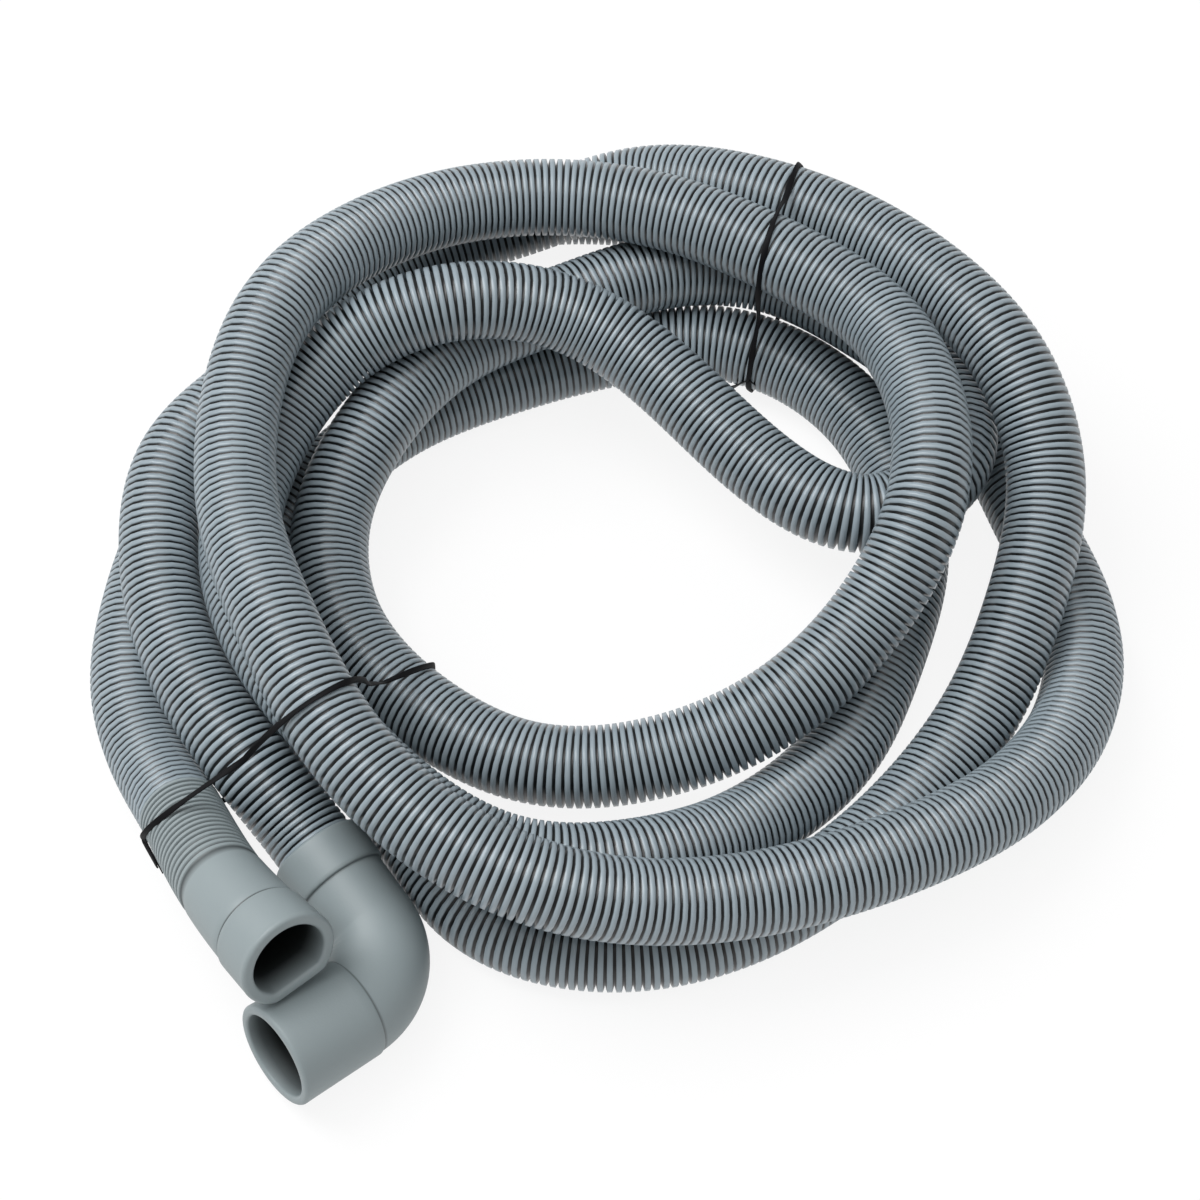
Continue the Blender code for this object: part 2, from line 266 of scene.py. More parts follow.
def makeHoseMaterial(group):
    # painted shade: the crests keep the plain colour and the grooves are darkened almost to black, where
    # shadow falls in them
    material, tree, shader = newMaterial("hosePlastic")
    skin = useSkin(tree, group, (0.264, 0.318, 0.353), 0.32, 0.16, 45.0, 900.0, 0.10)
    groove = addNode(tree, "ShaderNodeAttribute", (-700, -300), attribute_name="groove")
    rib = addNode(tree, "ShaderNodeAttribute", (-700, 300), attribute_name="ribTint")
    # painted shade: the deeper into a groove, the darker the colour
    shade = addNode(tree, "ShaderNodeMapRange", (-450, -300))
    shade.inputs["From Min"].default_value = 0.0
    shade.inputs["From Max"].default_value = 0.25
    shade.inputs["To Min"].default_value = 1.0
    shade.inputs["To Max"].default_value = 0.02
    tree.links.new(groove.outputs["Fac"], shade.inputs["Value"])
    ribShade = addNode(tree, "ShaderNodeMath", (-450, 300), operation="MULTIPLY_ADD")
    ribShade.inputs[1].default_value = 0.07
    ribShade.inputs[2].default_value = 0.965
    tree.links.new(rib.outputs["Fac"], ribShade.inputs[0])
    both = addNode(tree, "ShaderNodeMath", (-250, 200), operation="MULTIPLY")
    tree.links.new(shade.outputs["Result"], both.inputs[0])
    tree.links.new(ribShade.outputs[0], both.inputs[1])
    shaded = addNode(tree, "ShaderNodeVectorMath", (0, 150), operation="SCALE")
    tree.links.new(skin.outputs["Colour"], shaded.inputs[0])
    tree.links.new(both.outputs[0], shaded.inputs["Scale"])
    tree.links.new(shaded.outputs[0], shader.inputs["Base Color"])
    tree.links.new(skin.outputs["Roughness"], shader.inputs["Roughness"])
    addGrain(tree, shader, skin, 0.25, 0.0001)
    return material


def makeFittingMaterial(group):
    # a plain moulded grey with painted shade: darker down the bores, in the grooves and at the steps, where
    # shadow falls
    material, tree, shader = newMaterial("fittingPlastic")
    skin = useSkin(tree, group, (0.245, 0.288, 0.299), 0.5, 0.08, 35.0, 1400.0, 0.10)
    # painted shade, read from the point attribute that the fittings carry
    paintedShade = addNode(tree, "ShaderNodeAttribute", (-700, -300), attribute_name="paintedShade")
    shade = addNode(tree, "ShaderNodeMapRange", (-450, -300))
    shade.inputs["To Min"].default_value = 1.0
    shade.inputs["To Max"].default_value = 0.06
    tree.links.new(paintedShade.outputs["Fac"], shade.inputs["Value"])
    shaded = addNode(tree, "ShaderNodeVectorMath", (0, 150), operation="SCALE")
    tree.links.new(skin.outputs["Colour"], shaded.inputs[0])
    tree.links.new(shade.outputs["Result"], shaded.inputs["Scale"])
    tree.links.new(shaded.outputs[0], shader.inputs["Base Color"])
    tree.links.new(skin.outputs["Roughness"], shader.inputs["Roughness"])
    addGrain(tree, shader, skin, 0.3, 0.0001)
    return material


def makeTieMaterial(group):
    material, tree, shader = newMaterial("tieBlack")
    skin = useSkin(tree, group, (0.004, 0.004, 0.005), 0.6, 0.3, 200.0, 2500.0, 0.12)
    shader.inputs["Specular IOR Level"].default_value = 0.12
    tree.links.new(skin.outputs["Colour"], shader.inputs["Base Color"])
    tree.links.new(skin.outputs["Roughness"], shader.inputs["Roughness"])
    addGrain(tree, shader, skin, 0.3, 0.0001)
    return material


skinGroup = makeMouldedSkin()
hosePlastic = makeHoseMaterial(skinGroup)
fittingPlastic = makeFittingMaterial(skinGroup)
tieBlack = makeTieMaterial(skinGroup)
print("materials made")

# The route, with the elbow's own place at its end.
elbowTilt = asin(sqrt(2) * sin(elbow["rise"]))
elbowPlace = Matrix.Translation(elbow["corner"]) @ Matrix.Rotation(elbowTilt, 4, Vector((1, 1, 0)))
collarEdge = elbow["bendRadius"] + elbow["inletStraight"] + elbow["collarLength"]
hoseEnd = collarEdge - elbow["socketDepth"]
runIn = 0.5 * elbow["collarLength"] + elbow["socketDepth"]
approach = [elbowPlace @ Vector((0, y, 0)) for y in (hoseEnd + runIn, hoseEnd)]
wholeLine = smoothCurve([Vector(point) * mm for point in centreRoute] + approach)
# the spline dips a little between points on the floor
wholeLine[:, 2] = np.maximum(wholeLine[:, 2], hose["diameter"] / 2)
cuffLength = cuff["mouthLength"] + cuff["bodyLength"] + cuff["sleeveLength"]
hoseLength = lineLength(wholeLine) - cuffLength
print("hose", round(hoseLength, 3), "m")


def makeRibbing():
    # the corrugated tube: a swept ring whose size goes crest, crest, groove, with a plain bore inside it
    tree = bpy.data.node_groups.new("Corrugated Hose", "GeometryNodeTree")
    sockets = [
        ("Geometry", "NodeSocketGeometry", None),
        ("Ribs", "NodeSocketInt", 100),
        ("Diameter", "NodeSocketFloat", 0.026),
        ("Groove Depth", "NodeSocketFloat", 0.0017),
        ("Crest Spread", "NodeSocketFloat", 0.0003),
        ("Sides", "NodeSocketInt", 18),
        ("Bore", "NodeSocketFloat", 0.021),
        ("Bore Rings", "NodeSocketInt", 300),
        ("Bore Sides", "NodeSocketInt", 12),
        ("Seed", "NodeSocketInt", 4),
        ("Plastic", "NodeSocketMaterial", None),
    ]
    for label, kind, value in sockets:
        socket = tree.interface.new_socket(label, in_out="INPUT", socket_type=kind)
        if value is not None:
            socket.default_value = value
    tree.interface.new_socket("Geometry", in_out="OUTPUT", socket_type="NodeSocketGeometry")
    start = addNode(tree, "NodeGroupInput", (-1400, 0))
    end = addNode(tree, "NodeGroupOutput", (1600, 0))
    links = tree.links

    def mathNode(operation, first, second, place):
        node = addNode(tree, "ShaderNodeMath", place, operation=operation)
        for socket, value in zip(node.inputs, (first, second)):
            if isinstance(value, (int, float)):
                socket.default_value = value
            else:
                links.new(value, socket)
        return node.outputs[0]

    curve = addNode(tree, "GeometryNodeMeshToCurve", (-1200, 0))
    links.new(start.outputs["Geometry"], curve.inputs["Mesh"])
    rings = addNode(tree, "GeometryNodeResampleCurve", (-950, 100))
    ringCount = mathNode("MULTIPLY_ADD", start.outputs["Ribs"], 3, (-1150, 250))
    ringCount.node.inputs[2].default_value = 1.0
    links.new(curve.outputs["Curve"], rings.inputs["Curve"])
    links.new(ringCount, rings.inputs["Count"])

    # 0 is a groove, and 1 and 2 are the two shoulders of a crest
    index = addNode(tree, "GeometryNodeInputIndex", (-1200, -300))
    phase = mathNode("MODULO", index.outputs[0], 3, (-1000, -300))
    inGroove = mathNode("LESS_THAN", phase, 0.5, (-800, -250))
    side = mathNode("SUBTRACT", mathNode("MULTIPLY", phase, 2, (-800, -400)), 3, (-650, -400))
    crestOnly = mathNode("SUBTRACT", 1.0, inGroove, (-650, -550))
    push = mathNode("MULTIPLY", mathNode("MULTIPLY", side, crestOnly, (-500, -400)),
                    start.outputs["Crest Spread"], (-350, -400))
    tangent = addNode(tree, "GeometryNodeInputTangent", (-500, -600))
    offset = addNode(tree, "ShaderNodeVectorMath", (-200, -450), operation="SCALE")
    links.new(tangent.outputs[0], offset.inputs[0])
    links.new(push, offset.inputs["Scale"])
    moved = addNode(tree, "GeometryNodeSetPosition", (-50, 100))
    links.new(rings.outputs["Curve"], moved.inputs["Geometry"])
    links.new(offset.outputs[0], moved.inputs["Offset"])

    half = mathNode("MULTIPLY", start.outputs["Diameter"], 0.5, (-650, -150))
    depth = mathNode("MULTIPLY", inGroove, start.outputs["Groove Depth"], (-500, -200))
    radius = mathNode("SUBTRACT", half, depth, (-300, -150))
    sized = addNode(tree, "GeometryNodeSetCurveRadius", (150, 100))
    links.new(moved.outputs["Geometry"], sized.inputs["Curve"])
    links.new(radius, sized.inputs["Radius"])

    # the groove mark, which the hose material reads for its painted shade
    markGroove = addNode(tree, "GeometryNodeStoreNamedAttribute", (350, 100))
    markGroove.data_type = "FLOAT"
    markGroove.domain = "POINT"
    markGroove.inputs["Name"].default_value = "groove"
    links.new(sized.outputs["Curve"], markGroove.inputs["Geometry"])
    links.new(inGroove, markGroove.inputs["Value"])
    ribNumber = mathNode("FLOOR", mathNode("DIVIDE", index.outputs[0], 3, (-50, -300)), 0, (100, -300))
    chance = addNode(tree, "FunctionNodeRandomValue", (250, -300))
    links.new(ribNumber, chance.inputs["ID"])
    links.new(start.outputs["Seed"], chance.inputs["Seed"])
    markRib = addNode(tree, "GeometryNodeStoreNamedAttribute", (550, 100))
    markRib.data_type = "FLOAT"
    markRib.domain = "POINT"
    markRib.inputs["Name"].default_value = "ribTint"
    links.new(markGroove.outputs["Geometry"], markRib.inputs["Geometry"])
    links.new(chance.outputs[1], markRib.inputs["Value"])

    ring = addNode(tree, "GeometryNodeCurvePrimitiveCircle", (550, -100))
    ring.inputs["Radius"].default_value = 1.0
    links.new(start.outputs["Sides"], ring.inputs["Resolution"])
    skin = addNode(tree, "GeometryNodeCurveToMesh", (800, 100))
    ringSize = addNode(tree, "GeometryNodeInputRadius", (350, -500))
    links.new(markRib.outputs["Geometry"], skin.inputs["Curve"])
    links.new(ring.outputs["Curve"], skin.inputs["Profile Curve"])
    links.new(ringSize.outputs["Radius"], skin.inputs["Scale"])

    boreLine = addNode(tree, "GeometryNodeResampleCurve", (-50, -700))
    links.new(curve.outputs["Curve"], boreLine.inputs["Curve"])
    links.new(start.outputs["Bore Rings"], boreLine.inputs["Count"])
    boreSized = addNode(tree, "GeometryNodeSetCurveRadius", (150, -700))
    links.new(boreLine.outputs["Curve"], boreSized.inputs["Curve"])
    links.new(mathNode("MULTIPLY", start.outputs["Bore"], 0.5, (-50, -900)), boreSized.inputs["Radius"])
    boreRing = addNode(tree, "GeometryNodeCurvePrimitiveCircle", (350, -900))
    boreRing.inputs["Radius"].default_value = 1.0
    links.new(start.outputs["Bore Sides"], boreRing.inputs["Resolution"])
    bore = addNode(tree, "GeometryNodeCurveToMesh", (550, -700))
    links.new(boreSized.outputs["Curve"], bore.inputs["Curve"])
    links.new(boreRing.outputs["Curve"], bore.inputs["Profile Curve"])
    links.new(ringSize.outputs["Radius"], bore.inputs["Scale"])
    inward = addNode(tree, "GeometryNodeFlipFaces", (800, -700))
    links.new(bore.outputs["Mesh"], inward.inputs["Mesh"])

    both = addNode(tree, "GeometryNodeJoinGeometry", (1000, 0))
    links.new(inward.outputs["Mesh"], both.inputs["Geometry"])
    links.new(skin.outputs["Mesh"], both.inputs["Geometry"])
    smooth = addNode(tree, "GeometryNodeSetShadeSmooth", (1150, 0))
    links.new(both.outputs["Geometry"], smooth.inputs["Geometry"])
    real = addNode(tree, "GeometryNodeRealizeInstances", (1300, 0))
    links.new(smooth.outputs["Geometry"], real.inputs["Geometry"])
    coloured = addNode(tree, "GeometryNodeSetMaterial", (1450, 0))
    links.new(real.outputs["Geometry"], coloured.inputs["Geometry"])
    links.new(start.outputs["Plastic"], coloured.inputs["Material"])
    links.new(coloured.outputs["Geometry"], end.inputs["Geometry"])
    return tree


def setInputs(modifier, values):
    for item in modifier.node_group.interface.items_tree:
        if item.item_type == "SOCKET" and item.in_out == "INPUT" and item.name in values:
            modifier[item.identifier] = values[item.name]


def settle(made):
    # turn what the nodes make into a plain mesh, on a piece without modifiers
    graph = bpy.context.evaluated_depsgraph_get()
    mesh = bpy.data.meshes.new_from_object(made.evaluated_get(graph))
    made.modifiers.clear()
    made.data = mesh
    mesh.name = made.name
    return made


def makeHose():
    places = np.linspace(cuffLength, cuffLength + hoseLength, 6000)
    path = along(wholeLine, places)
    mesh = bpy.data.meshes.new("corrugatedHose")
    mesh.from_pydata([tuple(p) for p in path], [(i, i + 1) for i in range(len(path) - 1)], [])
    made = bpy.data.objects.new("corrugatedHose", mesh)
    bpy.context.scene.collection.objects.link(made)
    ribbing = made.modifiers.new("Ribs", "NODES")
    ribbing.node_group = makeRibbing()
    values = {
        "Ribs": int(hoseLength / hose["rib"]),
        "Diameter": hose["diameter"],
        "Groove Depth": hose["grooveDepth"],
        "Crest Spread": (hose["crestShare"] - 1 / 3) * hose["rib"] / 2,
        "Sides": hose["sides"],
        "Bore": hose["bore"],
        "Bore Rings": int(hoseLength / hose["boreStep"]),
        "Bore Sides": hose["boreSides"],
        "Seed": 4,
        "Plastic": hosePlastic,
    }
    setInputs(ribbing, values)
    settle(made)
    return made, path[::12]


corrugatedHose, hosePath = makeHose()
print("hose made:", len(corrugatedHose.data.polygons), "faces")


def skinAlong(name, line, stations, sides, shape, paintedShades, material):
    # rings of one closed profile along a line. shape may move a ring's point: (distance, radius, angle)
    # the list gives each ring its painted shade, from 0 to 1, greater deep in a bore, in a groove or at a
    # step
    distances = [distance for distance, radius in stations]
    step = 0.05 * mm
    places = along(line, distances)
    ahead = along(line, [d + step for d in distances])
    behind = along(line, [d - step for d in distances])
    verts = []
    for k, (distance, radius) in enumerate(stations):
        tangent = Vector(ahead[k] - behind[k]).normalized()
        sideways = tangent.cross(Vector((0, 0, 1))).normalized()
        upwards = sideways.cross(tangent)
        for i in range(sides):
            angle = 2 * pi * i / sides
            x, y = shape(distance, radius, angle)
            verts.append(Vector(places[k]) + sideways * x + upwards * y)
    count = len(stations)
    faces = []
    for k in range(count):
        after = (k + 1) % count
        for i in range(sides):
            j = (i + 1) % sides
            faces.append((k * sides + i, k * sides + j, after * sides + j, after * sides + i))
    made = newMesh(name, verts, faces)
    # the painted shade goes to the material as a point attribute
    paintedShadeLayer = made.data.attributes.new("paintedShade", "FLOAT", "POINT")
    paintedShadeLayer.data.foreach_set("value", [depth for depth in paintedShades for i in range(sides)])
    made.data.materials.append(material)
    made.data.shade_smooth()
    made.data.set_sharp_from_angle(angle=radians(50))
    return made


def lengthen(line, extra):
    # carry a line on straight past both its ends
    first = line[0] + (line[0] - line[1]) / np.linalg.norm(line[0] - line[1]) * extra
    last = line[-1] + (line[-1] - line[-2]) / np.linalg.norm(line[-1] - line[-2]) * extra
    return np.vstack([[first], line, [last]])


def roundedEnd(end, radius, inwards, into, size, steps=5):
    points = []
    for step in range(steps + 1):
        angle = 0.5 * pi * step / steps
        points.append((end + into * size * (1 - cos(angle)), radius + inwards * size * (1 - sin(angle))))
    return points


def makeCuff():
    lip = 1.3 * mm
    extra = 5 * mm
    bodyStart = cuff["mouthLength"]
    sleeveStart = bodyStart + cuff["bodyLength"]
    mouthRadius = cuff["mouthDiameter"] / 2
    outside = roundedEnd(0.0, mouthRadius, -1, 1, lip)
    for step in range(1, 10):
        share = step / 10
        outside.append((share * bodyStart, blend(mouthRadius, cuff["mouthStartDiameter"] / 2, share)))
    startRadius = cuff["mouthStartDiameter"] / 2
    bodyRadius = cuff["bodyDiameter"] / 2
    outside += [(bodyStart - 0.35 * mm, startRadius), (bodyStart - 0.05 * mm, startRadius - 0.15 * mm)]
    # painted shade on the two rings of the step from the mouth to the body
    paintedShades = [0.0] * len(outside) + [cuff["stepShade"]] * 2
    outside += [(bodyStart + 0.05 * mm, bodyRadius - 0.25 * mm)]
    outside += [(bodyStart + 0.7 * mm, bodyRadius - 0.2 * mm)]
    outside += [(bodyStart + cuff["stepWidth"], bodyRadius)]
    for step in range(1, 9):
        share = step / 9
        place = blend(bodyStart + cuff["stepWidth"], sleeveStart, share)
        outside.append((place, blend(bodyRadius, cuff["sleeveStartDiameter"] / 2, share)))
    paintedShades += [0.0] * (len(outside) - len(paintedShades))
    pitch = cuff["sleeveLength"] / cuff["sleeveRibs"]
    for rib in range(cuff["sleeveRibs"]):
        share = (rib + 0.5) / cuff["sleeveRibs"]
        radius = blend(cuff["sleeveStartDiameter"], cuff["sleeveEndDiameter"], share) / 2
        depth = cuff["ribDepth"] * min(1.0, 0.6 + 0.08 * rib)
        place = sleeveStart + rib * pitch
        outside += [(place + 0.18 * pitch, radius - depth)]
        outside += [(place + 0.36 * pitch, radius - depth * 0.9)]
        outside += [(place + 0.52 * pitch, radius), (place + 0.98 * pitch, radius)]
        # painted shade on the two groove rings of each rib
        paintedShades += [cuff["grooveShade"]] * 2 + [0.0] * 2
    end = cuffLength
    endRadius = cuff["sleeveEndDiameter"] / 2
    boreRadius = hose["bore"] / 2
    outside += [(end - 0.1 * mm, endRadius - 0.2 * mm)]
    # painted shade at the sleeve's end
    paintedShades += [cuff["endShade"]]
    inside = [(end - 0.1 * mm, boreRadius + 0.2 * mm)]
    inside += [(end - step * 4 * mm, boreRadius) for step in range(12)]
    depth = cuff["mouthDepth"]
    inside += [(depth + 4 * mm, boreRadius), (depth + 0.5 * mm, boreRadius + 1.2 * mm)]
    mouthBore = cuff["mouthBore"] / 2
    inside += [(depth * (1 - step / 8), mouthBore) for step in range(1, 8)]
    inside += roundedEnd(0.0, mouthBore, 1, 1, lip * 0.8)[::-1]
    stations = [(distance + extra, radius) for distance, radius in outside + inside]
    # painted shade that deepens down the bore and is full further in
    paintedShades += [min(1.0, distance / cuff["boreShadeReach"]) for distance, radius in inside]

    def shape(distance, radius, angle):
        x, y = radius * cos(angle), radius * sin(angle)
        back = distance - extra
        fade = max(0.0, 1 - back / cuff["flatFade"])
        fade = fade * fade * (3 - 2 * fade)
        if fade > 0:
            # the mouth is pressed flat underneath, where it rests on the elbow
            wall = mouthRadius - radius
            rounder = (1 - fade) * mouthRadius * (1 - cuff["flatShare"])
            limit = -(mouthRadius * cuff["flatShare"] - wall) - rounder
            if y < limit:
                soft = 0.6 * mm
                y = limit - soft * (1 - exp((y - limit) / soft))
        return x, y

    line = lengthen(along(wholeLine, np.linspace(0, 1.1 * cuffLength, 400)), extra)
    return skinAlong("straightCuff", line, stations, cuff["sides"], shape, paintedShades, fittingPlastic)


def makeElbow():
    lip = 1.2 * mm
    extra = 5 * mm
    points = [(0.0, collarEdge, 0.0)]
    for step in range(61):
        angle = 0.5 * pi * step / 60
        points.append((elbow["bendRadius"] * (cos(angle) - 1), elbow["bendRadius"] * (1 - sin(angle)), 0.0))
    points.append((-elbow["bendRadius"] - elbow["outletLength"], 0.0, 0.0))
    axis = np.array([elbowPlace @ Vector(point) for point in points])
    bendStart = elbow["collarLength"] + elbow["inletStraight"]
    bendEnd = bendStart + 0.5 * pi * elbow["bendRadius"]
    mouth = bendEnd + elbow["outletLength"]
    collarRadius = elbow["collarDiameter"] / 2
    neckRadius = elbow["bendStartDiameter"] / 2
    bendRadius = elbow["bendEndDiameter"] / 2
    outletStart = elbow["outletStartDiameter"] / 2
    outletRadius = elbow["outletDiameter"] / 2
    collarEnd = elbow["collarLength"]
    outside = roundedEnd(0.0, collarRadius, -1, 1, lip)
    outside += [(collarEnd * share, collarRadius) for share in (0.3, 0.5, 0.7, 0.9)]
    outside += [(collarEnd - 0.3 * mm, collarRadius - 0.05 * mm), (collarEnd, collarRadius - 0.3 * mm)]
    # painted shade on the ring at the step below the collar
    paintedShades = [0.0] * len(outside) + [elbow["stepShade"]]
    outside += [(collarEnd + 0.3 * mm, neckRadius + 0.1 * mm), (collarEnd + 0.9 * mm, neckRadius)]
    for step in range(1, 8):
        outside.append((blend(collarEnd, bendStart, step / 8), neckRadius))
    for step in range(33):
        share = step / 32
        radius = blend(neckRadius, bendRadius, share)
        outside.append((blend(bendStart, bendEnd - 1.0 * mm, share), radius))
    # painted shade on the ring at the step from the bend to the outlet
    paintedShades += [0.0] * (len(outside) - len(paintedShades)) + [elbow["stepShade"]]
    outside += [(bendEnd - 0.35 * mm, bendRadius + 0.05 * mm)]
    outside += [(bendEnd - 0.05 * mm, outletStart - 0.25 * mm)]
    outside += [(bendEnd + 0.35 * mm, outletStart)]
    for step in range(1, 9):
        share = step / 9
        outside.append((blend(bendEnd, mouth, share), blend(outletStart, outletRadius, share)))
    outside += roundedEnd(mouth, outletRadius, -1, -1, lip)[::-1]
    outletBore = elbow["outletBore"] / 2
    inside = roundedEnd(mouth, outletBore, 1, -1, 0.9 * mm)
    depth = elbow["outletDepth"]
    inside += [(mouth - depth * step / 6, outletBore) for step in range(1, 6)]
    inside += [(mouth - depth + 0.4 * mm, outletBore - 0.2 * mm), (mouth - depth, outletBore - 0.8 * mm)]
    inside += [(mouth - depth - 0.1 * mm, elbow["bendBore"] / 2 + 0.5 * mm)]
    for step in range(17):
        inside.append((blend(bendEnd, bendStart, step / 16), elbow["bendBore"] / 2))
    inside += [(elbow["socketDepth"] + 0.3 * mm, elbow["bendBore"] / 2)]
    socket = hose["diameter"] / 2 + 0.1 * mm
    inside += [(elbow["socketDepth"] + 0.2 * mm, socket), (0.6 * mm, socket)]
    stations = [(distance + extra, radius) for distance, radius in outside + inside]
    paintedShades += [0.0] * (len(outside) - len(paintedShades))
    # painted shade that deepens from the outlet's mouth and is full further in
    paintedShades += [min(1.0, (mouth - distance) / elbow["boreShadeReach"]) for distance, radius in inside]

    def shape(distance, radius, angle):
        # the outside is a little fuller in the inner corner of the bend, and the bore stays round
        share = (distance - extra - bendStart) / (bendEnd - bendStart)
        if radius > elbow["bendBore"] / 2 + 2 * mm and 0 < share < 1:
            radius += elbow["cornerFill"] * max(0.0, cos(angle)) ** 2 * sin(pi * share)
        return radius * cos(angle), radius * sin(angle)

    line = lengthen(axis, extra)
    return skinAlong("elbowConnector", line, stations, elbow["sides"], shape, paintedShades, fittingPlastic)


straightCuff = makeCuff()
elbowConnector = makeElbow()
print("fittings made")


tie = {
    "width": 2.0 * mm,
    "thickness": 0.6 * mm,
    "gap": 1.2 * mm,
    "sag": 0.5,
    "reach": 2.3 * hose["diameter"],
    "steps": 20,
    "smoothing": 6,
    "tipSteps": 8,
    "twist": 0.7,
    "twistLength": 55.0 * mm,
    "front": {
        "centre": Vector((-110, -3, 26)) * mm,
        "axis": Vector((0.05, 0.94, 0.34)),
        "tailTowards": Vector((-60, -4, -8)),
        "tips": (Vector((-163.8, -4.5, 12.5)) * mm, Vector((-162.6, -5.5, 9.5)) * mm),
    },
    "rear": {
        "centre": Vector((125, 43, 40)) * mm,
        "axis": Vector((0.57, -0.82, 0.0)),
        "tailTowards": Vector((-50, -35, 4)),
        "tips": (Vector((101.5, 35.6, 2.6)) * mm, Vector((110.4, 26.4, 2.4)) * mm),
    },
}


def tieLoop(side):
    # the taut outline round the strands that cross the tie's plane, let down a little between them
    centre = side["centre"]
    axis = side["axis"].normalized()
    across = axis.cross(Vector((0, 0, 1))).normalized()
    up = across.cross(axis)
    radius = hose["diameter"] / 2 + tie["thickness"] / 2 + tie["gap"] * 0.45
    heights = (wholeLine - np.array(centre)) @ np.array(axis)
    corners = []
    strands = []
    for i in np.flatnonzero(heights[:-1] * heights[1:] < 0):
        place = Vector(wholeLine[i]) - centre
        if place.length > tie["reach"]:
            continue
        heading = Vector(wholeLine[i + 1] - wholeLine[i]).normalized()
        lean = Vector((heading.dot(across), heading.dot(up)))
        longer = 1 / abs(heading.dot(axis)) - 1
        middle = Vector((place.dot(across), place.dot(up)))
        strands.append((middle, lean.normalized(), 1 + longer))
        for step in range(3 * tie["steps"]):
            angle = 2 * pi * step / (3 * tie["steps"])
            offset = radius * Vector((cos(angle), sin(angle)))
            if lean.length > 0.01:
                offset += lean.normalized() * lean.normalized().dot(offset) * longer
            corners.append(middle + offset)
    hull = [corners[i] for i in convex_hull_2d(corners)]
    towards = Vector((side["tailTowards"].dot(across), side["tailTowards"].dot(up))).normalized()
    first = max(range(len(hull)), key=lambda i: hull[i].dot(towards))
    ring = np.array([tuple(p) for p in hull[first:] + hull[:first] + [hull[first]]])
    steps = np.linalg.norm(np.diff(ring, axis=0), axis=1)
    lengths = np.concatenate([[0.0], np.cumsum(steps)])
    places = np.linspace(0, lengths[-1], int(lengths[-1] / (1.2 * mm)))
    ring = np.stack([np.interp(places, lengths, ring[:, k]) for k in range(2)], axis=1)
    inside = Vector(ring.mean(axis=0))
    pulled = []
    for point in ring:
        point = Vector(point)
        gap = 1.0
        for middle, lean, longer in strands:
            away = point - middle
            away = away - lean * lean.dot(away) * (1 - 1 / longer)
            gap = min(gap, away.length - radius)
        pull = (inside - point).normalized() * max(0.0, gap) * tie["sag"]
        onFloor = (centre + up * point.y).z < 3 * mm
        pulled.append(point if onFloor else point + pull)
    ring = np.array([tuple(p) for p in pulled])
    for turn in range(tie["smoothing"]):
        ring[1:-1] = 0.5 * ring[1:-1] + 0.25 * (ring[:-2] + ring[2:])
    ring = [centre + across * float(p[0]) + up * float(p[1]) for p in ring]
    tails = []
    for tip, root in zip(side["tips"], (ring[0], ring[-1])):
        tails.append([root.lerp(tip, step / tie["tipSteps"]) for step in range(1, tie["tipSteps"] + 1)])
    return tails[0][::-1] + ring + tails[1], axis


def ribbon(name, path, across, width, thickness, material):
    # a flat strip with rounded edges along a path: across gives the strip's width direction at each point
    outline = []
    for step in range(12):
        angle = 2 * pi * step / 12
        flat = (abs(cos(angle)) ** 0.6) * (1 if cos(angle) > 0 else -1)
        outline.append((0.5 * width * flat, 0.5 * thickness * sin(angle)))
    verts = []
    count = len(path)
    for k, point in enumerate(path):
        heading = (path[min(k + 1, count - 1)] - path[max(k - 1, 0)]).normalized()
        wide = (across[k] - heading * heading.dot(across[k])).normalized()
        thick = heading.cross(wide)
        for x, y in outline:
            verts.append(point + wide * x + thick * y)
    sides = len(outline)
    faces = []
    for k in range(count - 1):
        for i in range(sides):
            j = (i + 1) % sides
            faces.append((k * sides + i, (k + 1) * sides + i, (k + 1) * sides + j, k * sides + j))
    faces.append(tuple(range(sides)))
    faces.append(tuple((count - 1) * sides + i for i in reversed(range(sides))))
    made = newMesh(name, verts, faces)
    made.data.materials.append(material)
    made.data.shade_smooth()
    made.data.set_sharp_from_angle(angle=radians(60))
    return made


def makeTie(name, side):
    loop, axis = tieLoop(side)
    widths = []
    run = 0.0
    for i, point in enumerate(loop):
        run += (point - loop[max(i - 1, 0)]).length
        heading = (loop[min(i + 1, len(loop) - 1)] - loop[max(i - 1, 0)]).normalized()
        turn = tie["twist"] * sin(2 * pi * run / tie["twistLength"])
        widths.append(Matrix.Rotation(turn, 3, heading) @ axis)
    return ribbon(name, loop, widths, tie["width"], tie["thickness"], tieBlack)


frontTie = makeTie("frontTie", tie["front"])
rearTie = makeTie("rearTie", tie["rear"])
print("ties made")

pieces = [corrugatedHose, straightCuff, elbowConnector, frontTie, rearTie]
nodes = ["drain_hose", "straight_cuff", "elbow_connector", "front_tie", "rear_tie"]
slots = ["hose_grey", "fitting_grey", "fitting_grey", "tie_black", "tie_black"]
for piece, node, slot in zip(pieces, nodes, slots):
    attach(piece, "root")
    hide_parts(node)


camera = {
    "eye": Vector((-299.4, -402.2, 776.3)) * mm,
    "target": Vector((11, -5, 0)) * mm,
    "lens": 82.5,
}
light = {
    "key": {"place": (-0.5, 0.7, 1.5), "size": 1.1, "power": 22.0},
    "fill": {"place": (-0.25, -0.2, 1.8), "size": 1.2, "power": 10.0},
    "sky": 0.43,
    "floorWhite": 0.88,
}


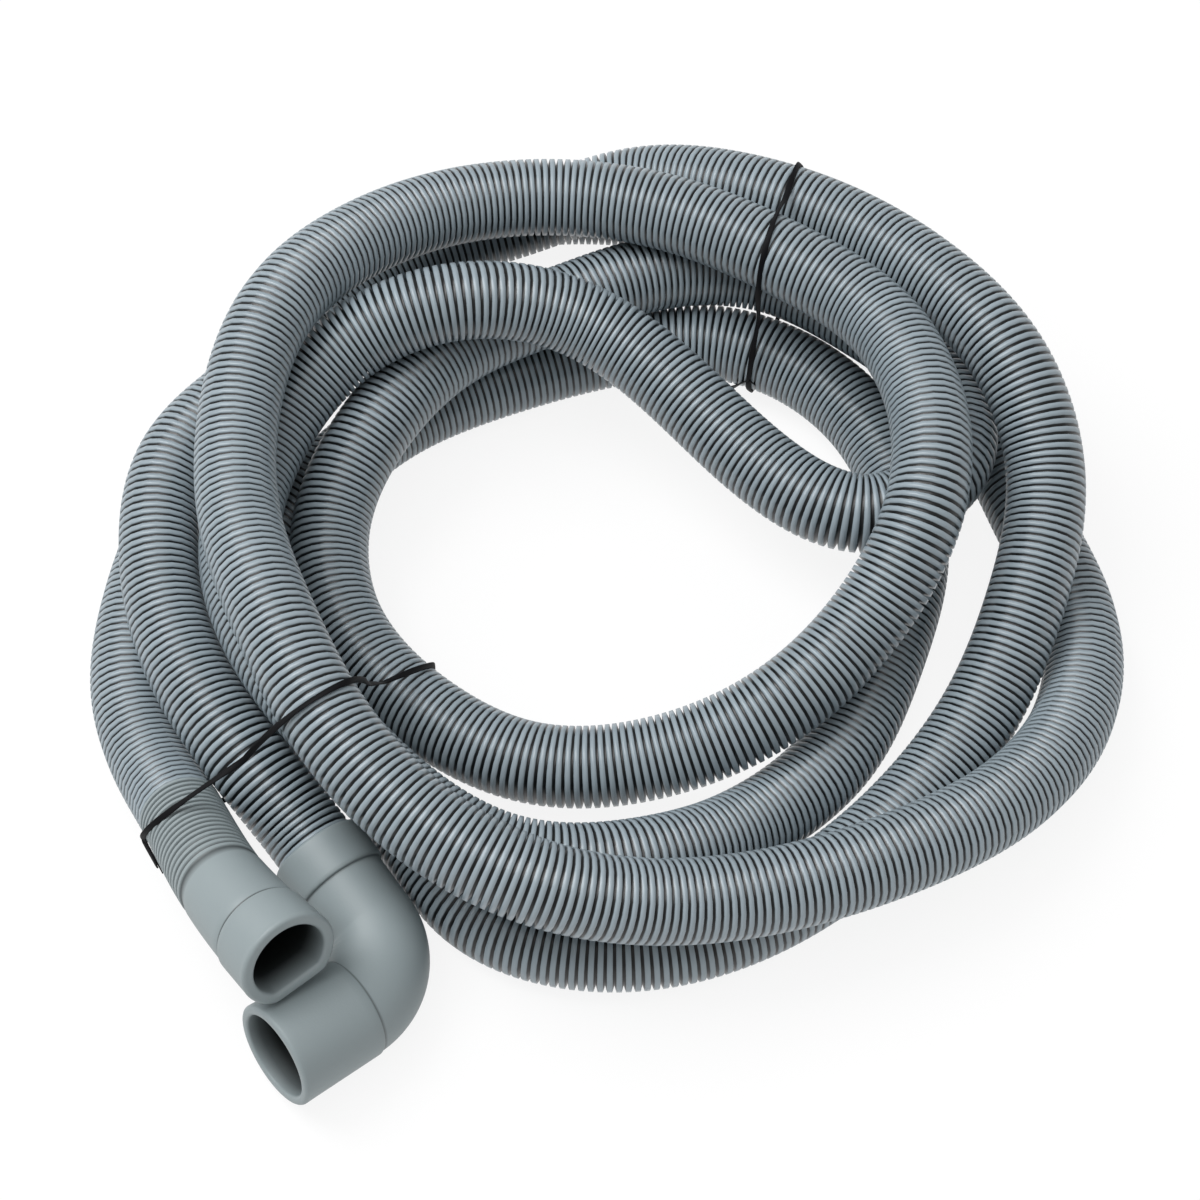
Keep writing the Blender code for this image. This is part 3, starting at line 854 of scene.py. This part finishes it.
def makeFloor():
    made = newMesh("floor", [(-6, -6, 0), (6, -6, 0), (6, 6, 0), (-6, 6, 0)], [(0, 1, 2, 3)])
    material = bpy.data.materials.new("paleFloor")
    material.use_nodes = True
    tree = material.node_tree
    tree.nodes.remove(tree.nodes["Principled BSDF"])
    output = tree.nodes["Material Output"]
    matt = addNode(tree, "ShaderNodeBsdfDiffuse", (-400, 0))
    matt.inputs["Color"].default_value = (0.9, 0.9, 0.9, 1.0)
    white = addNode(tree, "ShaderNodeEmission", (-400, -200))
    white.inputs["Color"].default_value = (1.0, 1.0, 1.0, 1.0)
    path = addNode(tree, "ShaderNodeLightPath", (-700, 300))
    seen = addNode(tree, "ShaderNodeMath", (-400, 300), operation="MAXIMUM")
    tree.links.new(path.outputs["Is Camera Ray"], seen.inputs[0])
    tree.links.new(path.outputs["Is Glossy Ray"], seen.inputs[1])
    share = addNode(tree, "ShaderNodeMath", (-200, 300), operation="MULTIPLY")
    share.inputs[1].default_value = light["floorWhite"]
    tree.links.new(seen.outputs[0], share.inputs[0])
    mix = addNode(tree, "ShaderNodeMixShader", (0, 0))
    tree.links.new(share.outputs[0], mix.inputs[0])
    tree.links.new(matt.outputs[0], mix.inputs[1])
    tree.links.new(white.outputs[0], mix.inputs[2])
    tree.links.new(mix.outputs[0], output.inputs["Surface"])
    made.data.materials.append(material)


def makeLight(name, values):
    lamp = bpy.data.lights.new(name, "AREA")
    lamp.shape = "DISK"
    lamp.size = values["size"]
    lamp.energy = values["power"]
    made = bpy.data.objects.new(name, lamp)
    made.location = values["place"]
    made.rotation_euler = (-Vector(values["place"])).to_track_quat("-Z", "Y").to_euler()
    bpy.context.scene.collection.objects.link(made)


def makeSky():
    world = bpy.data.worlds.new("studio")
    world.use_nodes = True
    tree = world.node_tree
    sky = tree.nodes["Background"]
    sky.inputs["Color"].default_value = (1.0, 1.0, 1.0, 1.0)
    path = addNode(tree, "ShaderNodeLightPath", (-600, 200))
    strength = addNode(tree, "ShaderNodeMapRange", (-300, 200))
    strength.inputs["To Min"].default_value = light["sky"]
    strength.inputs["To Max"].default_value = 1.0
    tree.links.new(path.outputs["Is Camera Ray"], strength.inputs["Value"])
    tree.links.new(strength.outputs["Result"], sky.inputs["Strength"])
    bpy.context.scene.world = world


def makeCamera():
    data = bpy.data.cameras.new("photoCamera")
    data.lens = camera["lens"]
    data.sensor_width = 36.0
    data.clip_end = 50.0
    made = bpy.data.objects.new("photoCamera", data)
    made.location = camera["eye"]
    made.rotation_euler = (camera["target"] - camera["eye"]).to_track_quat("-Z", "Y").to_euler()
    bpy.context.scene.collection.objects.link(made)
    bpy.context.scene.camera = made


makeFloor()
makeSky()
makeLight("keyLight", light["key"])
makeLight("fillLight", light["fill"])
makeCamera()
bpy.context.scene.view_settings.view_transform = "Standard"
print("studio made")
